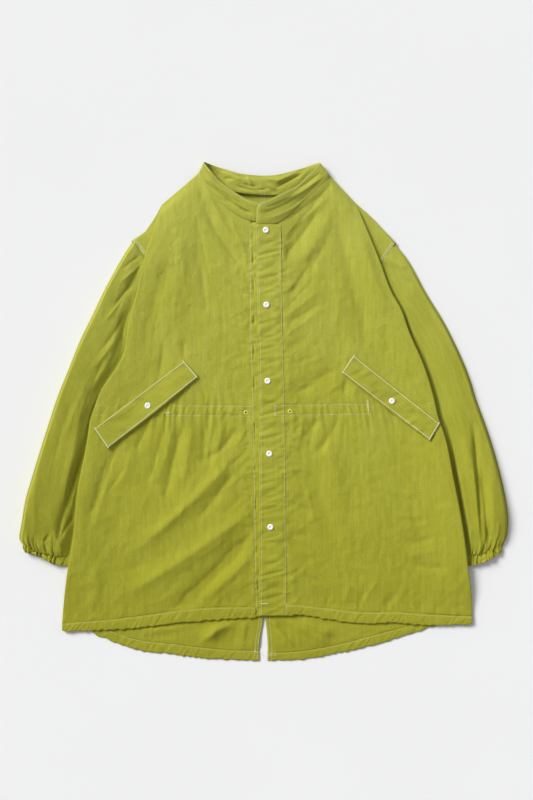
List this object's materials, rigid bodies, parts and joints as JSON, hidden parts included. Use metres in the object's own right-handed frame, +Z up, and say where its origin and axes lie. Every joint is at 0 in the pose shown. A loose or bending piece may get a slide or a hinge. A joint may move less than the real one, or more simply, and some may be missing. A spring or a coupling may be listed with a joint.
{
  "type": "fishtail parka",
  "caption": "Oversized parka laid flat with its sleeves drawn down, stand collar, snapped placket, waist channel, slanted pocket flaps and a split fishtail back.",
  "frame": {"origin": "centre of the laid-out parka's outline, on the surface that it lies on", "axes": "+Z up off the surface and out of the parka's front; +Y from the hem to the neck; +X to the viewer's right"},
  "size_m": [0.8542, 0.8706, 0.0197],
  "materials": {
    "shell": "matt woven cloth with a slight sheen",
    "snap": "satin white",
    "eyelet": "satin"
  },
  "bodies": {
    "root": {"back_left": "shell", "back_right": "shell", "collar_band": "shell", "cuff_left": "shell", "cuff_right": "shell", "eyelet_left": "eyelet", "eyelet_right": "eyelet", "flap_left": "shell", "flap_right": "shell", "front_left": "shell", "front_right": "shell", "hem_back_left": "shell", "hem_back_right": "shell", "hem_front_left": "shell", "hem_front_right": "shell", "placket": "shell", "placket_under": "shell", "sleeve_left": "shell", "sleeve_right": "shell", "snap_1": "snap", "snap_2": "snap", "snap_3": "snap", "snap_4": "snap", "snap_5": "snap", "snap_flap_left": "snap", "snap_flap_right": "snap"}
  },
  "joints": []
}
